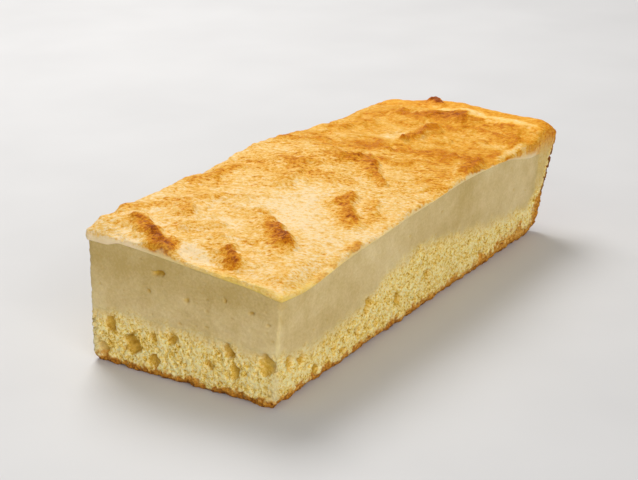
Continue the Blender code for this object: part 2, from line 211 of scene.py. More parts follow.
# Places of the top that stayed pale, in millimetres: ends (x, y), half width at each end, paleness,
# which is negative where the top is browner
PALE_PATCHES = [
    ((-75, 11), (-68, 1), (6, 5.5), 0.18),
    ((-52, 30), (-18, 26), (10, 10), -0.12),
    ((-16, 22), (26, 8), (9, 9), -0.1),
    ((-14, 12.5), (-11.5, 10), (4, 4), -0.16),
    ((12.5, -4), (15, -6), (4, 4), -0.16),
    ((76.5, -9), (79, -11.5), (4, 4), -0.14),
    ((-82, 22.5), (-79.5, 24), (3, 3), -0.14),
    ((-21, 10), (-12, -8), (6, 5), -0.22),
    ((-37, 7), (-32, 5), (5, 5), -0.12),
    ((-7, 4), (-6, 0), (5, 4), -0.14),
    ((8, -29), (26, -25), (6, 5), -0.18),
    ((-8, -36), (5, -36), (3.5, 3.5), -0.16),
    ((28, 7), (36, 10), (5, 5), -0.14),
    ((39, -14), (33, -21), (5.5, 5), -0.22),
    ((54, -3), (57, -4), (4, 4), -0.14),
    ((70, -7), (73, 12), (4, 4), -0.12),
    ((-72, -21), (-77, -22), (4, 3.5), -0.18),
    ((-83, 5), (-80, 2), (3.5, 3.5), -0.18),
    ((-63, 2), (-60, 0), (4, 4), -0.12),
    ((-38, -28), (-32, -30), (4.5, 4.5), -0.24),
    ((25, -36.5), (30, -36.5), (3.5, 3.5), -0.16),
    ((46, 7), (54, 2), (7, 6), 0.26),
    ((0, 22), (3, 18), (5, 5), 0.2),
    ((57, -27), (60, -30), (4, 4), 0.18),
    ((14, 5), (17, 1), (3.5, 3.5), 0.12),
    ((-92, 35), (-89, 29), (4.5, 4), 0.35),
    ((-8, -7), (-8, -11), (3.5, 3.5), 0.2),
    ((-96, 26), (-96, 18), (3.6, 3), 0.16),
    ((-92.5, 2), (-92.5, -7), (3, 2.2), 0.32),
    ((-50, -12), (-30, 2), (12, 10), 0.18),
    ((84.5, 6), (85, -32), (2.6, 2.2), 0.3),
    ((48, -36), (66, -36.5), (1.4, 1.8), 0.34),
]

# A crag's browning, a wide halo and a core: where it starts and ends, in half widths, and lean
CRAG_HALO = (0.1, 1.7, 2.3)
CRAG_CORE = (0.1, 1.1, 1.8)

# Crags are steep towards this way in the plan and fade out the other way, and the fine wrinkles
# of the skin are drawn out along it
STEEP_WAY = (0.55, -0.83)
WRINKLE_STRETCH = 2.4

# The smooth patch of the top, in millimetres: ends (x, y), half width at each end
SMOOTH_PATCH = ((-66.0, -32.0), (-2.0, -16.0), (20.0, 14.0))

# Holes of the sponge's crumb: wavelength and depth in millimetres, noise level where they start
CRUMB_HOLES = [(2.9, 0.8, 0.44), (1.6, 0.7, 0.26), (0.9, 0.4, 0.14)]

# Large pores of the sponge at the short cut in millimetres: y, z, radii across, in and up
SHORT_CUT_PORES = [
    (28.9, 14.4, 2.3, 2.0, 3.0),
    (20.0, 8.6, 3.5, 3.4, 4.1),
    (11.4, 12.9, 1.9, 1.4, 1.7),
    (11.1, 5.4, 2.0, 2.2, 3.0),
    (31.7, 4.8, 2.3, 2.0, 2.6),
    (-17.8, 15.2, 2.0, 2.2, 2.8),
    (-11.0, 9.1, 1.6, 1.4, 1.5),
    (-31.6, 14.4, 3.0, 1.9, 3.3),
]

# Burnt bubbles at the outer edge of the wall's near cut in millimetres: z, radius
WALL_BUBBLES = [(35, 1.1), (28, 0.8), (21, 1.2), (16, 0.9)]

# Air holes of the quark at the short cut in millimetres: y, z, radii across, in and up
SHORT_CUT_HOLES = [
    (9.1, 35.4, 2.6, 1.6, 1.2),
    (13.2, 28.6, 0.8, 0.8, 0.7),
    (-2.2, 28.7, 1.1, 0.9, 0.8),
    (-16.7, 31.9, 0.6, 0.8, 0.6),
    (-26.7, 30.2, 1.1, 0.8, 0.5),
]

# Seeded pores of the sponge on each cut face: how many, their radii and where they may lie
RANDOM_SEED = 11
SEEDED_PORES = {"short": 2, "near": 11, "far": 11}
SEEDED_RADII = (1.2 * MM, 2.2 * MM)
PORE_STRETCH = (0.8, 1.5)
PORE_SPACING = 6.2 * MM
PORE_MARGIN = 3.4 * MM
CORNER_MARGIN = 6.0 * MM

# Small pits of the quark on each cut face
QUARK_PITS = {"short": 22, "near": 14, "far": 24}
QUARK_PIT_RADII = (0.25 * MM, 0.45 * MM)
PIT_MARGIN = 2.0 * MM

# Camera: the photo's view, 638 x 480 pixels
CAMERA_PLACE = (-0.4273, -0.2707, 0.2130)
CAMERA_YAW = math.radians(-56.582)
CAMERA_PITCH = math.radians(21.154)
CAMERA_ROLL = math.radians(-0.682)
CAMERA_LENS = 84.66

# Studio: soft lights as place, size, power in watts and colour, and a floor just below the piece
KEY_LIGHT = ((0.35, 0.50, 0.80), (0.5, 0.5), 8.3, (1.0, 0.98, 0.95))
FILL_LIGHT = ((-0.7, -0.85, 0.5), (0.9, 0.7), 7.3, (1.0, 0.99, 0.96))
LIGHT_TARGET = (0.0, 0.0, 0.02)
SKY_COLOUR = (1.0, 0.985, 0.96)
SKY_STRENGTH = 0.38
FLOOR_SIZE = 3.0
FLOOR_GAP = 0.05 * MM


# ---------------------------------------------------------------- small maths

def clamp(value):
    return np.clip(value, 0.0, 1.0)


def ramp(value, start, end):
    """Smooth step from 0 at start to 1 at end."""
    step = clamp((value - start) / (end - start))
    return step * step * (3.0 - 2.0 * step)


def blend(start, end, share):
    return start + (end - start) * share


def bell(value, centre, reach):
    return np.exp(-((value - centre) / reach) ** 2)


def round_off(share):
    """Quarter circle: 0 at a share of 0, with a gentle start, and 1 at a share of 1."""
    return 1.0 - np.sqrt(1.0 - clamp(share) ** 2)


def ripple(x, y, z, wavelength, shift, octaves=1):
    """Smooth noise between about -1 and 1, with finer octaves if asked for.

    The shift picks the pattern.
    """
    x, y, z = np.broadcast_arrays(x, y, z)
    places = np.stack([x, y, z], axis=-1).reshape(-1, 3) / wavelength
    places = (places + shift * np.array([1.0, 1.7, 2.3])).tolist()
    if octaves == 1:
        values = [noise.noise(place) for place in places]
    else:
        values = [noise.fractal(place, 0.9, 2.0, octaves) for place in places]
    return np.array(values).reshape(x.shape)


# ---------------------------------------------------------------- shape of the piece

def across(y):
    """0 at the near cut, 1 at the far cut."""
    return clamp((y + HALF_WIDTH) / (2.0 * HALF_WIDTH))


def upright(z):
    """1 at the foot of a cut face, 0 at its top edge."""
    return 1.0 - clamp(z / CUT_HEIGHT)


def base_top(x, y):
    """Where the sponge sheet ends and the quark starts."""
    reach = np.where(x < HUMP_X, HUMP_REACH[0], HUMP_REACH[1])
    height = SHEET_LOW + SHEET_WAVE * ripple(x, y, 0.0, 16.0 * MM, 5.3)
    height = height + blend(*HUMP_HEIGHT, across(y)) * bell(x, HUMP_X, reach)
    height = height + SHORT_CUT_RISE * bell(x, SHORT_CUT_TOP_X, SHORT_CUT_RISE_REACH)
    return height + FILLET_RISE * ramp(x, WALL_INNER_X - FILLET_REACH, WALL_INNER_X)


def quark_top(x, y):
    """Where the quark ends and the meringue starts."""
    near = QUARK_NEAR + QUARK_SWELL * bell(x, 18.0 * MM, 28.0 * MM)
    near = near - QUARK_SAG * ramp(-x, 15.0 * MM, 60.0 * MM)
    near = near - QUARK_DIP * ramp(x, 46.0 * MM, 80.0 * MM)
    far = blend(*QUARK_FAR, ramp(x, 0.0, 60.0 * MM))
    slump = QUARK_SLUMP * bell(x, -82.0 * MM, 17.0 * MM) * bell(y, -HALF_WIDTH, 8.0 * MM)
    droop = QUARK_DROOP * bell(x, SHORT_CUT_TOP_X, 8.0 * MM) * ramp(y, 24.0 * MM, 31.0 * MM)
    return blend(near, far, ramp(across(y), 0.0, 1.0)) - slump - droop


def wall_inner_x(y):
    """Inner side of the upturned wall."""
    return WALL_INNER_X + WALL_INNER_WAVE * ripple(0.0, y, 0.0, 14.0 * MM, 8.2)


def stroke_share(x, y, stroke, core, fade, lean=1.0):
    """1 on the middle of a stroke of the top, falling to 0 past its edge.

    A lean over 1 makes the fall steep towards STEEP_WAY and gentle the other way.
    """
    (ax, ay), (bx, by), widths = stroke[:3]
    ax, ay, bx, by = ax * MM, ay * MM, bx * MM, by * MM
    length_squared = (bx - ax) ** 2 + (by - ay) ** 2
    along = clamp(((x - ax) * (bx - ax) + (y - ay) * (by - ay)) / length_squared)
    off_x = x - blend(ax, bx, along)
    off_y = y - blend(ay, by, along)
    steep = off_x * STEEP_WAY[0] + off_y * STEEP_WAY[1]
    level = off_x * STEEP_WAY[1] - off_y * STEEP_WAY[0]
    away = np.hypot(steep * np.where(steep > 0.0, lean, 1.0 / lean), level)
    edge = blend(*widths, along) * MM
    return 1.0 - ramp(away, core * edge, fade * edge)


def wander(x, y):
    """Places pushed about, so that what is drawn from them gets a ragged outline."""
    wide = 5.5 * MM
    fine = 1.9 * MM
    dx = 1.7 * MM * ripple(x, y, 0.0, wide, 51.0) + 0.8 * MM * ripple(x, y, 0.0, fine, 52.0)
    dy = 1.7 * MM * ripple(x, y, 0.0, wide, 53.0) + 0.8 * MM * ripple(x, y, 0.0, fine, 54.0)
    return x + dx, y + dy


def crag_height(x, y):
    """Height of the highest crag at a point of the top: a ridge with a broken crest."""
    wx, wy = wander(x, y)
    broken = 0.85 + 0.5 * ripple(x, y, 0.0, 3.6 * MM, 3.1)
    highest = np.zeros(np.shape(x))
    for crag in CRAGS:
        share = stroke_share(wx, wy, crag, 0.0, 1.6, 1.7)
        highest = np.maximum(highest, crag[3] * MM * share * broken)
    return highest


def top_swell(x, y):
    """Top of the piece without its crags and wrinkles."""
    near = TOP_NEAR + TOP_NEAR_SWELL * ramp(x, -55.0 * MM, 15.0 * MM)
    near = near - TOP_NEAR_SAG * ramp(x, 25.0 * MM, 60.0 * MM)
    rise = blend(*TOP_RISE, ramp(x, -5.0 * MM, 40.0 * MM))
    swell = near + rise * ramp(across(y), -0.08, 0.82)
    hollow = bell(x, SHORT_CUT_TOP_X, 11.0 * MM) * bell(y, 10.0 * MM, 20.0 * MM)
    swell = swell - SHORT_CUT_HOLLOW * hollow
    crest = RIM_CREST + RIM_SWELL * bell(y, 2.0 * MM, 20.0 * MM)
    crest = crest - RIM_FALL * ramp(y, 10.0 * MM, HALF_WIDTH)
    droop = RIM_DROOP * bell(y, -HALF_WIDTH, 3.4 * MM) * ramp(x, 82.0 * MM, HALF_LENGTH)
    return blend(swell, crest, ramp(x, *RIM_STEP_X)) - droop


def edge_slump(x, y):
    """How far the soft top bends down over the near corner and its edges."""
    along_near = bell(y, -HALF_WIDTH, 4.5 * MM) * ramp(-x, 60.0 * MM, 74.0 * MM)
    along_short = bell(x, SHORT_CUT_TOP_X, 3.5 * MM) * ramp(-y, -18.0 * MM, 14.0 * MM)
    return EDGE_SLUMP * np.maximum(along_near, 0.75 * along_short)


def plan_x(x):
    """Place along the uncut plan of the top that belongs to a place on the finished top."""
    return blend(-HALF_LENGTH, HALF_LENGTH, (x - SHORT_CUT_TOP_X) / (HALF_LENGTH - SHORT_CUT_TOP_X))


def top_z(x, y):
    """Top of the whole piece."""
    x = plan_x(x)
    skin = top_swell(x, y) + crag_height(x, y) - edge_slump(x, y)
    skin = skin + BILLOW * ripple(x, y, 0.0, 21.0 * MM, 1.3)
    skin = skin + WRINKLE * ripple(x, 0.7 * y, 0.0, 9.0 * MM, 2.7)
    skin = skin - RIM_RADIUS * round_off((x - HALF_LENGTH + RIM_RADIUS) / RIM_RADIUS)
    return np.where(x < WALL_INNER_X, np.maximum(skin, quark_top(x, y) + FOAM_LEAST), skin)


def edge_drop(x, y):
    """Rounding of the top right at the cut edges, widest at the left corner and near the wall."""
    left_corner = bell(x, SHORT_CUT_TOP_X, 12.0 * MM) * ramp(y, 16.0 * MM, 32.0 * MM)
    soft = (0.6 + 0.5 * ramp(x, 40.0 * MM, 56.0 * MM) + 1.4 * left_corner) * MM
    edge = np.minimum(HALF_WIDTH - np.abs(y), x - SHORT_CUT_TOP_X)
    return 0.9 * soft * np.exp(-edge / soft)


def foot(x, y, z):
    """Rounding of the crumbly bottom edges."""
    ragged = 1.0 + FOOT_RAGGED * ripple(x, y, 0.0, 4.0 * MM, 9.4, 2)
    return FOOT_ROUNDING * ragged * np.exp(-z / FOOT_ROUNDING_HEIGHT)


def short_cut_x(y, z):
    lean = blend(*SHORT_CUT_LEAN, across(y)) * upright(z)
    return SHORT_CUT_TOP_X - lean + foot(SHORT_CUT_TOP_X, y, z)


def near_cut_y(x, z):
    return -HALF_WIDTH + NEAR_CUT_LEAN * upright(z) + foot(x, -HALF_WIDTH, z)


def far_cut_y(x, z):
    return HALF_WIDTH - FAR_CUT_LEAN * upright(z) - foot(x, HALF_WIDTH, z)


def pan_side_x(z):
    flare = WALL_FLARE * clamp(z / CUT_HEIGHT) ** WALL_FLARE_POWER
    return WALL_FOOT_X + flare - WALL_FOOT_RADIUS * round_off(1.0 - z / WALL_FOOT_RADIUS)


# ---------------------------------------------------------------- relief of the cut faces

def sponge_share(x, y, z):
    """1 in the sponge, 0 in the quark, with a soft and uneven step between them."""
    uneven = SEAM_UNEVEN * ripple(x, y, z, 4.5 * MM, 12.5, 2)
    seam = base_top(x, y) + uneven
    sheet = 1.0 - ramp(z, seam - 5.5 * MM, seam + 2.6 * MM)
    inner = wall_inner_x(y) + 0.5 * uneven
    wall = ramp(x, inner - 1.6 * MM, inner + 1.8 * MM)
    dense = ramp(z, 14.0 * MM, 22.0 * MM) * ramp(pan_side_x(z) - x, 1.0 * MM, 4.4 * MM)
    return np.maximum(sheet, wall * (1.0 - 0.7 * dense))


def crumb_depth(x, y, z):
    """Depth of the open crumb about the knife's plane: grains and holes of three sizes."""
    grain = CRUMB_GRAIN * ripple(x, y, z, 0.9 * MM, 6.1, 2)
    patchy = ripple(x, y, z, 9.0 * MM, 2.9)
    holes = np.zeros(np.shape(x))
    for wavelength, deep, start in CRUMB_HOLES:
        field = ripple(x, y, z, wavelength * MM, 2.2 + wavelength, 2) + 0.2 * patchy
        holes = np.maximum(holes, deep * MM * ramp(field, start, start + 0.25))
    return holes - grain - CRUMB_PROUD


def by_short_cut(x, reach):
    """1 at the short cut, 0 from this far along the piece."""
    return 1.0 - ramp(x, SHORT_CUT_TOP_X, SHORT_CUT_TOP_X + reach)


def quark_depth(x, y, z):
    """Faint waves and knife drags of the smooth quark, and fine level marks at the short cut."""
    waves = QUARK_WAVES * ripple(x, y, 1.6 * z, 3.0 * MM, 3.9, 2)
    drags = QUARK_DRAGS * ripple(x, y, 0.06 * z, 1.2 * MM, 8.8)
    marks = QUARK_MARKS * ripple(x, 0.45 * y, z, 1.1 * MM, 7.7, 2)
    return waves + drags * ramp(x, 30.0 * MM, 60.0 * MM) + marks * by_short_cut(x, 4.0 * MM)


def quark_shade(x, z):
    """Painted shade on the quark: darker under the foam's overhang at the short cut, about mid length
    and by the wall.
    """
    short = by_short_cut(x, 6.0 * MM) * ramp(z, 26.0 * MM, 36.0 * MM)
    middle = 0.75 * bell(x, 10.0 * MM, 28.0 * MM)
    wall = 0.9 * ramp(x, WALL_INNER_X - 6.0 * MM, WALL_INNER_X + 1.0 * MM)
    return np.maximum(np.maximum(0.8 * short, middle), wall)


def hollows_depth(along, z, hollows):
    """Depth of lumpy hollows on a face: (along, z, radius along, radius in, radius up)."""
    lumpy = 0.6 * ripple(along, 0.0, z, 3.0 * MM, 4.9) + 0.2 * ripple(along, 0.0, z, 1.2 * MM, 4.1)
    lumpy_up = 0.6 * ripple(along, 0.0, z, 3.0 * MM, 5.9) + 0.2 * ripple(along, 0.0, z, 1.2 * MM, 5.1)
    rough = 1.0 + 0.2 * ripple(along, 0.0, z, 2.0 * MM, 6.9)
    depth = np.zeros(np.shape(along))
    for centre_along, centre_z, radius_along, radius_in, radius_up in hollows:
        ratio_along = (along - centre_along) / radius_along + lumpy
        ratio_up = (z - centre_z) / radius_up + lumpy_up
        bowl = np.sqrt(clamp(1.0 - ratio_along ** 2 - ratio_up ** 2))
        depth = np.maximum(depth, radius_in * bowl ** 0.8 * rough)
    return depth


def in_metres(rows):
    return [tuple(value * MM for value in row) for row in rows]


def draw_place(draw, face, margin):
    """A place (x, y) on a cut face, at least this far from its upright edges."""
    x = draw.uniform(SHORT_CUT_TOP_X + margin, WALL_INNER_X - margin)
    y = draw.uniform(-HALF_WIDTH + margin, HALF_WIDTH - margin)
    if face == "short":
        return SHORT_CUT_TOP_X, y
    return x, -HALF_WIDTH if face == "near" else HALF_WIDTH


def sponge_pores():
    """The hollows of the sponge on each cut face, named ones and seeded ones."""
    draw = random.Random(RANDOM_SEED)
    pores = {"short": in_metres(SHORT_CUT_PORES), "near": [], "far": []}
    taken = [Vector((SHORT_CUT_TOP_X, row[0], row[1])) for row in pores["short"]]
    for face, count in SEEDED_PORES.items():
        placed = 0
        while placed < count:
            x, y = draw_place(draw, face, CORNER_MARGIN)
            z = draw.uniform(PORE_MARGIN, float(base_top(x, y)) - PORE_MARGIN)
            if any((Vector((x, y, z)) - other).length < PORE_SPACING for other in taken):
                continue
            taken.append(Vector((x, y, z)))
            radius = draw.uniform(*SEEDED_RADII)
            tall = radius * draw.uniform(*PORE_STRETCH)
            pores[face].append((y if face == "short" else x, z, radius, radius, tall))
            placed += 1
    return pores


def quark_pits():
    """Small pits of the quark on each cut face, with the named air holes at the short cut."""
    draw = random.Random(RANDOM_SEED + 1)
    pits = {"short": in_metres(SHORT_CUT_HOLES), "near": [], "far": []}
    for face, count in QUARK_PITS.items():
        for _ in range(count):
            x, y = draw_place(draw, face, PIT_MARGIN)
            low = float(base_top(x, y))
            high = float(quark_top(x, y))
            z = blend(low, high, draw.uniform(0.05, 0.93) ** 1.3)
            radius = draw.uniform(*QUARK_PIT_RADII)
            wide = radius * draw.uniform(1.0, 1.9)
            pits[face].append((y if face == "short" else x, z, wide, 1.1 * radius, radius))
    return pits


def soft_corner(distance):
    """Rounding of the upright corners: how far a face draws back near one."""
    return CORNER_ROUNDING * np.exp(-distance / CORNER_ROUNDING_REACH)


def on_cut_faces(u, v):
    """True on the three cut faces."""
    return (u == 0.0) | (v == 0.0) | (v == 1.0)


def carve_faces(points, places, depth, hollows):
    """Moves the points by the cut faces inwards.

    Returns how deep each point of a face lies below the knife's plane, and how much of that is
    a hollow.
    """
    x, y, z = points.T
    u, v = places[:, 0], places[:, 1]
    from_near = y - near_cut_y(x, z)
    from_far = far_cut_y(x, z) - y
    from_short = x - short_cut_x(y, z)
    carved = np.zeros(len(points))
    for face, on_face, along in (
        ("short", u == 0.0, y),
        ("near", v == 0.0, x),
        ("far", v == 1.0, x),
    ):
        carved[on_face] = hollows_depth(along[on_face], z[on_face], hollows[face])
    depth = depth * (1.0 - 0.8 * clamp(carved / (0.8 * MM)))
    short_move = carved + soft_corner(np.minimum(from_near, from_far))
    long_move = carved * (u > 0.0) + soft_corner(from_short)
    points[:, 0] += bell(from_short, 0.0, RELIEF_REACH) * depth + np.where(u == 0.0, short_move, 0.0)
    points[:, 1] += bell(from_near, 0.0, RELIEF_REACH) * depth + np.where(v == 0.0, long_move, 0.0)
    points[:, 1] -= bell(from_far, 0.0, RELIEF_REACH) * depth + np.where(v == 1.0, long_move, 0.0)
    return np.where(on_cut_faces(u, v), depth + carved, 0.0), carved


# ---------------------------------------------------------------- browning of the top

def liveliness(px, y):
    """How strongly the skin is folded: least on the smooth patch and the rim, most beyond mid length."""
    calm = stroke_share(px, y, SMOOTH_PATCH, 0.3, 1.2)
    rim = ramp(px, RIM_SKIN_X - 5.0 * MM, RIM_SKIN_X)
    return (1.0 - 0.75 * calm) * (0.7 + 0.3 * ramp(px, 0.0, 60.0 * MM)) * (1.0 - 0.85 * rim)


def folds(px, y):
    """Where the skin folds over: 0 along the lip of a fold, negative below it, positive above."""
    return ripple(px, 0.85 * y, 0.0, 11.0 * MM, 21.0, 3)


def browning(x, y):
    """How brown the top is: 0 white foam, 0.25 cream, 0.45 golden, 0.7 orange brown, 1 dark."""
    px = plan_x(x)
    lively = liveliness(px, y)
    brown = BROWN_LEVEL + 0.08 * ripple(px, y, 0.0, 26.0 * MM, 14.1)
    brown = brown + BROWN_RISE * ramp(px, -50.0 * MM, 50.0 * MM)
    brown = brown + (0.06 + 0.11 * lively) * ripple(px, 0.8 * y, 0.0, 7.5 * MM, 16.3, 3)
    lip = folds(px, y)
    edge = np.where(lip > 0.0, np.exp(-lip / 0.16), np.exp(-(lip / 0.03) ** 2))
    brown = brown + lively * FOLD_BROWN * edge * (1.0 + ripple(px, y, 0.0, 14.0 * MM, 17.9))
    rim_brown = BROWN_RIM + 0.1 * ripple(px, y, 0.0, 12.0 * MM, 15.2)
    rim_brown = rim_brown + 0.08 * ramp(-y, 18.0 * MM, 34.0 * MM)
    brown = blend(brown, rim_brown, ramp(px, RIM_SKIN_X - 4.0 * MM, RIM_SKIN_X))
    wx, wy = wander(px, y)
    for patch in PALE_PATCHES:
        brown = brown - patch[3] * stroke_share(wx, wy, patch, 0.3, 1.4)
    for crag in CRAGS:
        halo = stroke_share(wx, wy, crag, *CRAG_HALO)
        core = stroke_share(wx, wy, crag, *CRAG_CORE)
        target = crag[4] - 0.04 + 0.12 * ripple(px, y, 0.0, 2.2 * MM, 18.7, 2)
        brown = np.maximum(brown, blend(brown, 0.4 * target + 0.18, halo))
        brown = np.maximum(brown, blend(brown, target, core))
    return brown


def skin_relief(x, y, brown):
    """Fine relief of the baked skin: folds, fine wrinkles drawn out along them, and rough crags."""
    px = plan_x(x)
    relief = FOLD_STEP * np.tanh(10.0 * folds(px, y))
    relief = relief + SKIN_BUMPS * ripple(px, y, 0.0, 3.4 * MM, 22.0, 2)
    relief = liveliness(px, y) * relief
    along = (px * STEEP_WAY[0] + y * STEEP_WAY[1]) / WRINKLE_STRETCH
    apart = y * STEEP_WAY[0] - px * STEEP_WAY[1]
    relief = relief + SKIN_WRINKLES * ripple(along, apart, 0.0, 1.7 * MM, 24.0, 2)
    rough = CRAG_RIDGES * (np.abs(ripple(px, y, 0.0, 2.6 * MM, 25.0)) - 0.2)
    rough = rough + CRAG_GRAIN * ripple(px, y, 0.0, 1.3 * MM, 26.0, 2)
    return relief + ramp(brown, 0.55, 0.9) * rough


# ---------------------------------------------------------------- lattices and meshes

def lattice_shell(counts):
    """The surface of a lattice: each point's (u, v, w) and the quads between the points."""
    index = np.full([count + 1 for count in counts], -1)
    outside = np.zeros(index.shape, bool)
    for axis in range(3):
        for end in (0, -1):
            np.moveaxis(outside, axis, 0)[end] = True
    index[outside] = np.arange(outside.sum())
    quads = []
    for axis in range(3):
        for end in (0, -1):
            side = np.moveaxis(index, axis, 0)[end]
            ring = [side[:-1, :-1], side[1:, :-1], side[1:, 1:], side[:-1, 1:]]
            if (end == 0) != (axis == 1):
                ring.reverse()
            quads.append(np.stack(ring, axis=-1).reshape(-1, 4))
    return np.argwhere(outside) / np.array(counts), np.concatenate(quads)


def set_values(mesh, name, values):
    attribute = mesh.attributes.new(name, "FLOAT", "POINT")
    attribute.data.foreach_set("value", np.asarray(values, np.float32))


def mesh_from(name, points, quads):
    mesh = bpy.data.meshes.new(name)
    mesh.vertices.add(len(points))
    mesh.vertices.foreach_set("co", points.astype(np.float32).ravel())
    mesh.loops.add(quads.size)
    mesh.loops.foreach_set("vertex_index", quads.ravel().astype(np.int32))
    mesh.polygons.add(len(quads))
    mesh.polygons.foreach_set("loop_start", np.arange(0, quads.size, 4, dtype=np.int32))
    mesh.update(calc_edges=True)
    mesh.validate()
    mesh.shade_smooth()
    return mesh


def add_piece(name, mesh, material):
    piece = bpy.data.objects.new(name, mesh)
    bpy.context.scene.collection.objects.link(piece)
    mesh.materials.append(material)
    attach(piece, "root")
    return piece


def sharpen_border(mesh, hidden, shown):
    """Hard edges where a hidden side meets a cut face, so that the layers meet without a seam."""
    border = hidden & shown
    ends = np.empty(2 * len(mesh.edges), np.int32)
    mesh.edges.foreach_get("vertices", ends)
    sharp = border[ends.reshape(-1, 2)].all(axis=1)
    attribute = mesh.attributes.new("sharp_edge", "BOOLEAN", "EDGE")
    attribute.data.foreach_set("value", sharp)


def thin_out(piece, places, hidden, ratio):
    """Fewer faces on the sides that lie against another layer or the ground.

    The points next to a shown side are left alone, so that the layers' shared edges stay closed.
    """
    u, v = places[:, 0], places[:, 1]
    clear = (u > SHORT_CUT_BORDER) & (u < 1.0 - SIDE_BORDER)
    clear = clear & (v > SIDE_BORDER) & (v < 1.0 - SIDE_BORDER)
    group = piece.vertex_groups.new(name="hidden")
    group.add(np.flatnonzero(hidden & clear).tolist(), 1.0, "REPLACE")
    decimate = piece.modifiers.new("thin_out", "DECIMATE")
    decimate.vertex_group = group.name
    decimate.ratio = ratio


# ---------------------------------------------------------------- materials

def new_material(name):
    material = bpy.data.materials.new(name)
    material.use_nodes = True
    tree = material.node_tree
    return material, tree, tree.nodes["Principled BSDF"]


def attribute_value(tree, name):
    node = tree.nodes.new("ShaderNodeAttribute")
    node.attribute_name = name
    return node.outputs["Fac"]


def noise_value(tree, wavelength, detail, roughness=0.5, stretch=(1.0, 1.0, 1.0), turn=0.0):
    """A noise texture over the piece's own coordinates, stretched along axes turned about Z."""
    coordinates = tree.nodes.new("ShaderNodeTexCoord")
    mapping = tree.nodes.new("ShaderNodeMapping")
    mapping.vector_type = "TEXTURE"
    mapping.inputs["Rotation"].default_value = (0.0, 0.0, turn)
    mapping.inputs["Scale"].default_value = stretch
    tree.links.new(coordinates.outputs["Object"], mapping.inputs["Vector"])
    node = tree.nodes.new("ShaderNodeTexNoise")
    node.inputs["Scale"].default_value = 1.0 / wavelength
    node.inputs["Detail"].default_value = detail
    node.inputs["Roughness"].default_value = roughness
    tree.links.new(mapping.outputs["Vector"], node.inputs["Vector"])
    return node.outputs["Fac"]


def connect(tree, socket, value):
    if isinstance(value, (int, float)):
        socket.default_value = value
    elif isinstance(value, tuple):
        socket.default_value = (*value, 1.0)
    else:
        tree.links.new(value, socket)


def sum_of(tree, base, *terms):
    """base + factor * (value - middle) for each term (value, factor, middle)."""
    total = base
    for value, factor, middle in terms:
        node = tree.nodes.new("ShaderNodeMath")
        node.operation = "MULTIPLY_ADD"
        connect(tree, node.inputs[0], value)
        node.inputs[1].default_value = factor
        shift = tree.nodes.new("ShaderNodeMath")
        shift.operation = "SUBTRACT"
        connect(tree, shift.inputs[0], total)
        shift.inputs[1].default_value = factor * middle
        tree.links.new(shift.outputs[0], node.inputs[2])
        total = node.outputs[0]
    return total


def colour_ramp(tree, value, stops):
    node = tree.nodes.new("ShaderNodeValToRGB")
    ramp_stops = node.color_ramp.elements
    while len(ramp_stops) < len(stops):
        ramp_stops.new(0.5)
    for element, (position, colour) in zip(ramp_stops, stops):
        element.position = position
        element.color = (*colour, 1.0)
    connect(tree, node.inputs["Fac"], value)
    return node.outputs["Color"]


def mix_colour(tree, share, first, second):
    node = tree.nodes.new("ShaderNodeMix")
    node.data_type = "RGBA"
    connect(tree, node.inputs["Factor"], share)
    connect(tree, node.inputs[6], first)
    connect(tree, node.inputs[7], second)
    return node.outputs[2]


def add_bump(tree, shader, height, distance, strength):
    bump = tree.nodes.new("ShaderNodeBump")
    bump.inputs["Distance"].default_value = distance
    connect(tree, bump.inputs["Strength"], strength)
    connect(tree, bump.inputs["Height"], height)
    tree.links.new(bump.outputs["Normal"], shader.inputs["Normal"])


QUARK_TONES = [
    (0.00, (0.525, 0.375, 0.135)),
    (0.50, (0.665, 0.508, 0.240)),
    (1.00, (0.800, 0.650, 0.350)),
]
# Crumb colour from the grains to the deepest holes: the crumb's own yellow, painted lighter on the
# grains as highlight and darker in the holes as shade
CRUMB_LIT_AND_SHADED_TONES = [
    (0.04, (1.000, 0.855, 0.440)),
    (0.22, (0.995, 0.760, 0.285)),
    (0.40, (0.905, 0.640, 0.165)),
    (0.62, (0.730, 0.450, 0.055)),
    (0.90, (0.430, 0.215, 0.013)),
]
CRUST_TONES = [
    (0.10, (0.830, 0.470, 0.100)),
    (0.40, (0.620, 0.275, 0.032)),
    (0.70, (0.410, 0.150, 0.015)),
    (0.95, (0.180, 0.058, 0.010)),
]
SKIN_TONES = [
    (0.00, (0.970, 0.745, 0.435)),
    (0.18, (0.950, 0.650, 0.270)),
    (0.36, (0.905, 0.555, 0.152)),
    (0.52, (0.840, 0.435, 0.055)),
    (0.64, (0.760, 0.325, 0.018)),
    (0.76, (0.650, 0.225, 0.008)),
    (0.90, (0.500, 0.140, 0.005)),
    (1.00, (0.290, 0.066, 0.005)),
]
YOLK = (0.910, 0.640, 0.140)
FOAM_SIDE = (0.910, 0.700, 0.340)
FOAM_WHITE = (1.000, 0.780, 0.490)
DRIP = (0.760, 0.640, 0.340)
# Colour in the hollows of the crumb and the quark: their own darker gold together with painted shade
HOLLOW_SHADE_TONES = [
    (0.35, (0.720, 0.470, 0.080)),
    (0.65, (0.430, 0.240, 0.022)),
]


def quark_colour(tree):
    value = sum_of(
        tree,
        0.5,
        # painted shade: the shade attribute darkens the quark
        (attribute_value(tree, "shade"), -0.4, 0.0),
        (noise_value(tree, 22.0 * MM, 2.0), 0.9, 0.5),
        (noise_value(tree, 6.0 * MM, 3.0), 0.7, 0.5),
        (noise_value(tree, 0.9 * MM, 3.0, 0.7), 0.9, 0.5),
        (noise_value(tree, 2.0 * MM, 2.0, stretch=(1.0, 1.0, 10.0)), 0.12, 0.5),
    )
    return colour_ramp(tree, value, QUARK_TONES)


def crumb_hole_noise(tree):
    """Fine crumb: high in the small holes, low on the grains between them. It sets the bump and the
    colour, where the holes are painted darker as shade and the grains lighter as highlight.
    """
    return sum_of(
        tree,
        noise_value(tree, 0.75 * MM, 3.0, 0.7),
        (noise_value(tree, 1.9 * MM, 3.0, 0.6), 0.45, 0.5),
    )


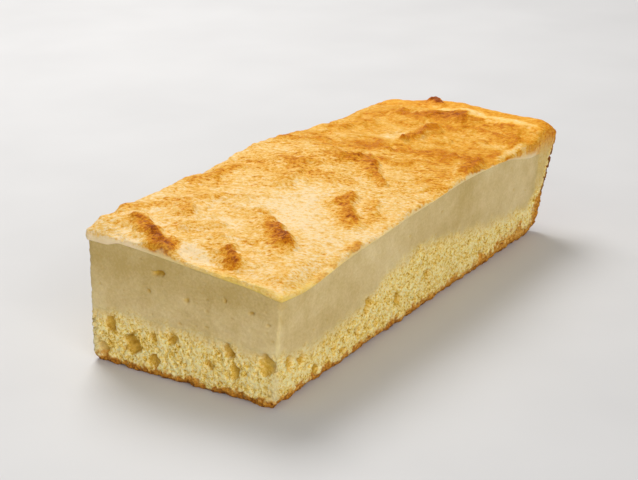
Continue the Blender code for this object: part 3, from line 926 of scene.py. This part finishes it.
def body_colour(tree, hole_noise):
    """Crumb in the sponge, smooth quark above it, a paler smear down the short cut's corners."""
    # crumb tone: deeper points and the small holes painted darker as shade, the proud grains lighter as
    # highlight
    depth = sum_of(
        tree,
        attribute_value(tree, "depth_shade"),
        (hole_noise, 3.0, 0.5),
        (noise_value(tree, 5.0 * MM, 2.0), 0.4, 0.5),
    )
    crumb = colour_ramp(tree, depth, CRUMB_LIT_AND_SHADED_TONES)
    body = mix_colour(tree, attribute_value(tree, "crumbly"), quark_colour(tree), crumb)
    # hollows take a darker gold, partly their own colour and partly painted shade that deepens with
    # their depth
    hollow = colour_ramp(tree, noise_value(tree, 2.2 * MM, 3.0, 0.6), HOLLOW_SHADE_TONES)
    shaded_in_hollows = mix_colour(tree, attribute_value(tree, "pit_and_shade"), body, hollow)
    return mix_colour(tree, attribute_value(tree, "drip"), shaded_in_hollows, DRIP)


def add_body_bump(tree, shader, hole_noise):
    height = sum_of(tree, 0.5, (hole_noise, -1.0, 0.5))
    strength = sum_of(
        tree,
        0.25,
        (attribute_value(tree, "crumbly"), 0.75, 0.0),
        (attribute_value(tree, "pit_and_shade"), -0.6, 0.0),
    )
    add_bump(tree, shader, height, 0.5 * MM, strength)


def drawn_out_noise(tree, wavelength, detail, roughness, stretch):
    """A noise texture drawn out along the folds of the skin."""
    turn = math.atan2(STEEP_WAY[1], STEEP_WAY[0])
    return noise_value(tree, wavelength, detail, roughness, (stretch, 1.0, 1.0), turn)


def fine_wrinkles(tree):
    return drawn_out_noise(tree, 1.4 * MM, 4.0, 0.65, WRINKLE_STRETCH)


def skin_colour(tree, wrinkles):
    # fine speckling of the skin, and the wrinkles painted paler on their crests and browner between
    # them: light and shade that follow their bump
    speckle_and_wrinkle_shade = sum_of(
        tree,
        0.0,
        (drawn_out_noise(tree, 0.8 * MM, 3.0, 0.7, 1.6), 1.9, 0.5),
        (wrinkles, -1.1, 0.5),
    )
    faded = tree.nodes.new("ShaderNodeMath")
    faded.operation = "MULTIPLY_ADD"
    connect(tree, faded.inputs[0], speckle_and_wrinkle_shade)
    connect(tree, faded.inputs[1], attribute_value(tree, "speckle_and_shade"))
    connect(tree, faded.inputs[2], attribute_value(tree, "browning"))
    return colour_ramp(tree, faded.outputs[0], SKIN_TONES)


def set_surface(shader, roughness, specular, subsurface, radius):
    shader.inputs["Roughness"].default_value = roughness
    shader.inputs["Specular IOR Level"].default_value = specular
    shader.inputs["Subsurface Weight"].default_value = subsurface
    shader.inputs["Subsurface Scale"].default_value = radius
    shader.inputs["Subsurface Radius"].default_value = (1.0, 0.7, 0.3)


def quark_material():
    material, tree, shader = new_material("baked_quark")
    hole_noise = crumb_hole_noise(tree)
    connect(tree, shader.inputs["Base Color"], body_colour(tree, hole_noise))
    set_surface(shader, 0.55, 0.1, 0.25, 1.8 * MM)
    add_body_bump(tree, shader, hole_noise)
    return material


def sponge_material():
    material, tree, shader = new_material("sponge_crumb")
    crust_value = sum_of(
        tree,
        attribute_value(tree, "crust"),
        (noise_value(tree, 1.1 * MM, 3.0, 0.65), 2.1, 0.5),
        (noise_value(tree, 5.0 * MM, 2.0), 0.6, 0.5),
    )
    crust = colour_ramp(tree, crust_value, CRUST_TONES)
    hole_noise = crumb_hole_noise(tree)
    crusted = mix_colour(tree, attribute_value(tree, "crusted"), body_colour(tree, hole_noise), crust)
    skin = skin_colour(tree, fine_wrinkles(tree))
    colour = mix_colour(tree, attribute_value(tree, "rim"), crusted, skin)
    connect(tree, shader.inputs["Base Color"], colour)
    set_surface(shader, 0.6, 0.08, 0.2, 1.5 * MM)
    add_body_bump(tree, shader, hole_noise)
    return material


def meringue_material():
    material, tree, shader = new_material("baked_foam")
    side = mix_colour(tree, attribute_value(tree, "yolk"), FOAM_SIDE, YOLK)
    side = mix_colour(tree, attribute_value(tree, "white"), side, FOAM_WHITE)
    wrinkles = fine_wrinkles(tree)
    colour = mix_colour(tree, attribute_value(tree, "side"), skin_colour(tree, wrinkles), side)
    connect(tree, shader.inputs["Base Color"], colour)
    set_surface(shader, 0.45, 0.06, 0.12, 0.8 * MM)
    height = sum_of(tree, wrinkles, (noise_value(tree, 0.8 * MM, 3.0, 0.6), 0.6, 0.5))
    add_bump(tree, shader, height, 0.8 * MM, 1.0)
    return material


# ---------------------------------------------------------------- the three layers

def fit_to_cuts(x_plan, y_plan, z, along, v):
    """Points of the plan drawn onto the leaning cut faces; along is 0 at the short cut."""
    x = x_plan + (short_cut_x(y_plan, z) - SHORT_CUT_TOP_X) * (1.0 - along) ** 3
    y = blend(near_cut_y(x, z), far_cut_y(x, z), v)
    return np.stack([x, y, z], axis=-1)


def sponge_lattice_points(places):
    """The sponge as a slab that runs along the sheet and bends up into the wall."""
    u, v, w = places.T
    y_plan = blend(-HALF_WIDTH, HALF_WIDTH, v)
    inner = wall_inner_x(y_plan)
    sheet = clamp(u / SHEET_SHARE)
    up = clamp((u - SHEET_SHARE) / (1.0 - SHEET_SHARE))
    floor_end = WALL_FOOT_X - WALL_FOOT_RADIUS

    # underside and pan side
    fan = clamp(up / WALL_FAN_SHARE)
    climb = clamp((up - WALL_FAN_SHARE) / (1.0 - WALL_FAN_SHARE))
    outer_top = top_z(np.full(len(v), HALF_LENGTH), y_plan)
    outer_z = WALL_FAN_HEIGHT * fan ** 1.5 + (outer_top - WALL_FAN_HEIGHT) * climb
    outer_x = np.where(up > 0.0, pan_side_x(outer_z), blend(SHORT_CUT_TOP_X, floor_end, sheet))

    # top of the sheet and inner side of the wall
    sheet_x = blend(SHORT_CUT_TOP_X, inner, sheet)
    sheet_z = base_top(sheet_x, y_plan)
    inner_top = top_z(inner, y_plan)
    lift = 0.06 * fan + 0.94 * climb
    inner_z = blend(sheet_z, inner_top, lift)

    x_plan = blend(outer_x, sheet_x, w)
    z = blend(outer_z, inner_z, w)
    rim_z = top_z(x_plan, y_plan) - edge_drop(x_plan, y_plan)
    z = z + (rim_z - blend(outer_top, inner_top, w)) * climb ** 6
    return fit_to_cuts(x_plan, y_plan, z, sheet, v)


def swell_faces(points, u, v, height):
    """Moves the points of the three cut faces outwards."""
    points[:, 0] -= np.where(u == 0.0, height, 0.0)
    points[:, 1] -= np.where(v == 0.0, height, 0.0) - np.where(v == 1.0, height, 0.0)


def depth_shade_tone(depth):
    """Place in the crumb's tones of a point this deep below the knife's plane: deeper points are painted
    darker, as shade.
    """
    return 0.22 + 0.4 * clamp(depth / (1.5 * MM))


def hollow_shade_share(carved, full):
    """How much of the hollows' colour a point takes, most from this depth on: their own darker gold and
    painted shade that deepens into the hollow.
    """
    return 0.95 * clamp(carved / full) ** 0.7


def drip_share(x, y, z):
    """1 where the knife smeared pale quark down the corners of the short cut, wider at the foot."""
    away_near = np.hypot(x - short_cut_x(y, z), y - near_cut_y(x, z))
    away_far = np.hypot(x - short_cut_x(y, z), far_cut_y(x, z) - y)
    reach = blend(*SMEAR_REACH, upright(z)) * (1.0 + 0.5 * ripple(x, y, z, 4.0 * MM, 46.0, 2))
    smear = np.maximum(bell(away_near, 0.0, reach), 0.8 * bell(away_far, 0.0, 1.7 * reach))
    uneven = blend(-0.1, 1.1, upright(z)) + 0.5 * ripple(x, y, z, 3.0 * MM, 45.0, 2)
    return 0.85 * clamp(uneven * smear * ramp(z, 0.0, 3.0 * MM))


def set_body_values(mesh, x, y, z, crumbly, depth_shade, pit_and_shade):
    """The values that body_colour reads."""
    set_values(mesh, "crumbly", crumbly)
    set_values(mesh, "depth_shade", depth_shade)
    set_values(mesh, "pit_and_shade", pit_and_shade)
    set_values(mesh, "shade", quark_shade(x, z))
    set_values(mesh, "drip", drip_share(x, y, z))


def build_sponge():
    places, quads = lattice_shell(SPONGE_CELLS)
    points = sponge_lattice_points(places)
    u, v, w = places.T
    x, y, z = points.T.copy()
    crumbly = sponge_share(x, y, z)
    brown = browning(x, y)
    depth = blend(quark_depth(x, y, z), crumb_depth(x, y, z), crumbly)
    fade_edge = ramp(z, 0.0, 1.2 * MM) * ramp(1.0 - u, 0.0, 0.01)
    depth_shade, carved = carve_faces(points, places, depth * fade_edge, sponge_pores())

    # the glazed rim, whose skin laps over the cuts a little, and the brown skin of the pan side
    below_rim = top_z(x, y) - z + 1.6 * MM * ripple(x, y, z, 3.0 * MM, 32.0)
    rim = ramp(x, WALL_INNER_X - 2.0 * MM, WALL_INNER_X) * (1.0 - ramp(below_rim, 1.5 * MM, 12.0 * MM))
    rim = np.where(u == 1.0, 1.0, rim)
    points[:, 2] += np.where(u == 1.0, skin_relief(x, y, brown), 0.0)
    pan = (w == 0.0) & (u > SHEET_SHARE)
    pan_lumps = PAN_SIDE_LUMPS * ripple(x, y, z, 2.2 * MM, 31.0, 2) * ramp(z, 0.0, 4.0 * MM)
    points[:, 0] -= np.where(pan, pan_lumps, 0.0)

    # brown crust along the foot and the pan side, its edge ragged at the foot and calmer up the wall
    even = ramp(z, 12.0 * MM, 20.0 * MM)
    far_end = ramp(x, 10.0 * MM, 76.0 * MM) * (1.0 - ramp(z, 10.0 * MM, 18.0 * MM))
    thick = CRUST_THICK + CRUST_FAR_END * far_end - CRUST_THINNER * even
    thick = thick * (1.0 + (0.8 - 0.5 * even) * ripple(x, y, 0.3 * z, 7.0 * MM, 33.0, 2))
    inside = np.minimum(z, np.where(x > WALL_INNER_X - 4.0 * MM, pan_side_x(z) - x, 1.0))
    grainy = inside + (0.6 - 0.4 * even) * thick * ripple(x, y, z, 1.5 * MM, 35.0, 2)
    crusted = 1.0 - ramp(grainy, 0.75 * thick, 1.15 * thick)
    crusted = np.where(w == 0.0, 1.0, crusted)
    crust = 1.0 - clamp(inside / (3.4 * MM))
    crust = crust + np.where(w == 0.0, 0.0, ramp(z, 12.0 * MM, 22.0 * MM))
    for bubble_z, radius in WALL_BUBBLES:
        middle = float(pan_side_x(bubble_z * MM)) - 0.5 * radius * MM
        away = np.hypot(x - middle, z - bubble_z * MM) / (radius * MM)
        bubble = np.where(v == 0.0, 1.0 - ramp(away, 0.5, 1.2), 0.0)
        crusted = np.maximum(crusted, bubble)
        crust = np.maximum(crust, 2.0 * bubble)
        points[:, 1] -= 0.15 * radius * MM * bubble
    lumps = CRUST_LUMPS * crusted * ripple(x, y, z, 1.9 * MM, 34.0, 2)
    swell_faces(points, u, v, lumps * ramp(z, 0.2 * MM, 1.5 * MM) * (1.0 - 0.8 * even))

    mesh = mesh_from("sponge_crumb", points, quads)
    # the crumb is also made slightly darker about mid length
    tone = depth_shade_tone(depth_shade) + 0.06 * bell(x, 0.0, 34.0 * MM)
    # painted shade on the cut faces high up by the wall's inner side, given the hollows' shaded colour
    wall_painted_shade = 0.15 * ramp(x, WALL_INNER_X - 3.0 * MM, WALL_INNER_X) * ramp(z, 12.0 * MM, 22.0 * MM)
    pit_and_shade = np.maximum(hollow_shade_share(carved, 2.4 * MM), wall_painted_shade)
    set_body_values(mesh, x, y, z, crumbly, tone, pit_and_shade)
    set_values(mesh, "crusted", crusted)
    set_values(mesh, "crust", 0.34 + 0.36 * crust)
    set_values(mesh, "rim", rim)
    set_values(mesh, "browning", brown + 0.04)
    set_values(mesh, "speckle_and_shade", np.full(len(u), 0.45))
    sharpen_border(mesh, w == 1.0, on_cut_faces(u, v) | (u == 1.0))
    piece = add_piece("sponge_crumb", mesh, sponge_material())
    hidden = (w == 1.0) | (w == 0.0) & (u < SHEET_SHARE - 0.01)
    thin_out(piece, places, hidden, SPONGE_KEPT)
    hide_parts("sponge_base")


def build_quark():
    places, quads = lattice_shell(QUARK_CELLS)
    u, v, w = places.T
    y_plan = blend(-HALF_WIDTH, HALF_WIDTH, v)
    x_plan = blend(SHORT_CUT_TOP_X, wall_inner_x(y_plan), u)
    height = blend(base_top(x_plan, y_plan), quark_top(x_plan, y_plan), w)
    points = fit_to_cuts(x_plan, y_plan, height, u, v)
    x, y, z = points.T.copy()
    crumbly = sponge_share(x, y, z)
    depth = blend(quark_depth(x, y, z), crumb_depth(x, y, z), crumbly)
    depth_shade, carved = carve_faces(points, places, depth, quark_pits())

    mesh = mesh_from("quark_body", points, quads)
    set_body_values(mesh, x, y, z, crumbly, depth_shade_tone(depth_shade), hollow_shade_share(carved, 1.4 * MM))
    covered = (w == 0.0) | (w == 1.0) | (u == 1.0)
    sharpen_border(mesh, covered, on_cut_faces(u, v))
    piece = add_piece("quark_body", mesh, quark_material())
    thin_out(piece, places, covered, QUARK_KEPT)
    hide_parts("quark_filling")


def build_meringue():
    places, quads = lattice_shell(MERINGUE_CELLS)
    u, v, w = places.T
    y_plan = blend(-HALF_WIDTH, HALF_WIDTH, v)
    x_plan = blend(SHORT_CUT_TOP_X, wall_inner_x(y_plan), u)
    brown = browning(x_plan, y_plan)
    low = quark_top(x_plan, y_plan)
    high = top_z(x_plan, y_plan) + skin_relief(x_plan, y_plan, brown)
    high = np.maximum(high, low + FOAM_CUT_LEAST) - edge_drop(x_plan, y_plan)
    points = fit_to_cuts(x_plan, y_plan, blend(low, high, w), u, v)
    x, y, z = points.T.copy()

    # the cut sides of the foam stand a little proud, and their surface is uneven
    bulge = FOAM_BULGE * np.sin(math.pi * w ** 0.8)
    swell_faces(points, u, v, bulge + FOAM_LUMPS * ripple(x, y, z, 2.0 * MM, 41.0, 2) * w)

    # colours of the cut side: egg yellow about the near corner, white by the wall and the far corner
    edge = np.minimum(HALF_WIDTH - np.abs(y_plan), x_plan - SHORT_CUT_TOP_X)
    near_wall = ramp(x, 40.0 * MM, 56.0 * MM)
    edge_uneven = 1.0 + (0.6 - 0.3 * near_wall) * ripple(x, y, z, 2.2 * MM, 44.0, 2)
    corner = bell(x, -92.0 * MM, 34.0 * MM) * ramp(-y, -12.0 * MM, 16.0 * MM)
    yolk = corner * clamp(0.9 + 0.6 * ripple(x, y, z, 7.0 * MM, 42.0))
    white = np.maximum(0.5 * near_wall, (u == 0.0) * ramp(y, 10.0 * MM, 20.0 * MM))
    patchy = 0.85 - 0.15 * near_wall + (0.5 + 0.5 * near_wall) * ripple(x, y, z, 2.2 * MM, 43.0)
    white = clamp(white * patchy)
    wrap = np.maximum(near_wall, 0.7 * (u == 0.0) * (1.0 - ramp(y, 12.0 * MM, 24.0 * MM)))
    skin_share = ramp(w * edge_uneven, 0.5 - 0.4 * wrap, 0.95 - 0.35 * wrap)
    side = np.where(on_cut_faces(u, v), 1.0 - skin_share, 0.0)
    side = side * (1.0 - 0.8 * ramp(x_plan, WALL_INNER_X - 5.0 * MM, WALL_INNER_X))
    side = np.maximum(side, 0.7 * yolk * bell(edge, 0.0, 2.1 * MM * edge_uneven))

    mesh = mesh_from("meringue_skin", points, quads)
    set_values(mesh, "browning", brown)
    # how strongly the skin's speckling and the painted wrinkle light and shade show
    speckle_and_shade = (1.0 - 0.4 * ramp(x, -10.0 * MM, 50.0 * MM)) * (1.0 - 0.4 * ramp(brown, 0.45, 0.75))
    set_values(mesh, "speckle_and_shade", speckle_and_shade)
    set_values(mesh, "side", side)
    set_values(mesh, "yolk", yolk)
    set_values(mesh, "white", white)
    sharpen_border(mesh, (w == 0.0) | (u == 1.0), on_cut_faces(u, v) | (w == 1.0))
    piece = add_piece("meringue_skin", mesh, meringue_material())
    thin_out(piece, places, w == 0.0, MERINGUE_KEPT)
    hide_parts("meringue_top")


# ---------------------------------------------------------------- stage

def floor_material():
    material, tree, shader = new_material("pale_floor")
    value = noise_value(tree, 60.0 * MM, 2.0)
    colour = colour_ramp(tree, value, [(0.3, (0.60, 0.60, 0.61)), (0.7, (0.63, 0.63, 0.64))])
    connect(tree, shader.inputs["Base Color"], colour)
    shader.inputs["Roughness"].default_value = 0.6
    return material


def add_floor():
    shape = bmesh.new()
    bmesh.ops.create_grid(shape, x_segments=4, y_segments=4, size=FLOOR_SIZE)
    mesh = bpy.data.meshes.new("floor")
    shape.to_mesh(mesh)
    shape.free()
    floor = bpy.data.objects.new("floor", mesh)
    floor.location.z = -FLOOR_GAP
    mesh.materials.append(floor_material())
    bpy.context.scene.collection.objects.link(floor)


def add_softbox(name, place, size, power, colour):
    light = bpy.data.lights.new(name, "AREA")
    light.shape = "RECTANGLE"
    light.size, light.size_y = size
    light.energy = power
    light.color = colour
    lamp = bpy.data.objects.new(name, light)
    lamp.location = place
    direction = Vector(LIGHT_TARGET) - Vector(place)
    lamp.rotation_euler = direction.to_track_quat("-Z", "Y").to_euler()
    bpy.context.scene.collection.objects.link(lamp)


def add_camera():
    """The photo's camera: from looking straight down it rolls, tilts up to its pitch and yaws."""
    lens = bpy.data.cameras.new("camera")
    lens.lens = CAMERA_LENS
    camera = bpy.data.objects.new("camera", lens)
    turn = Matrix.Rotation(CAMERA_YAW, 4, "Z")
    turn = turn @ Matrix.Rotation(math.pi / 2.0 - CAMERA_PITCH, 4, "X")
    turn = turn @ Matrix.Rotation(CAMERA_ROLL, 4, "Z")
    camera.matrix_world = Matrix.Translation(CAMERA_PLACE) @ turn
    bpy.context.scene.collection.objects.link(camera)
    bpy.context.scene.camera = camera


def add_world():
    world = bpy.data.worlds.new("studio")
    world.use_nodes = True
    background = world.node_tree.nodes["Background"]
    background.inputs["Color"].default_value = (*SKY_COLOUR, 1.0)
    background.inputs["Strength"].default_value = SKY_STRENGTH
    bpy.context.scene.world = world


build_sponge()
build_quark()
build_meringue()
add_floor()
add_world()
add_softbox("key", *KEY_LIGHT)
add_softbox("fill", *FILL_LIGHT)
add_camera()
bpy.context.scene.view_settings.view_transform = "Standard"
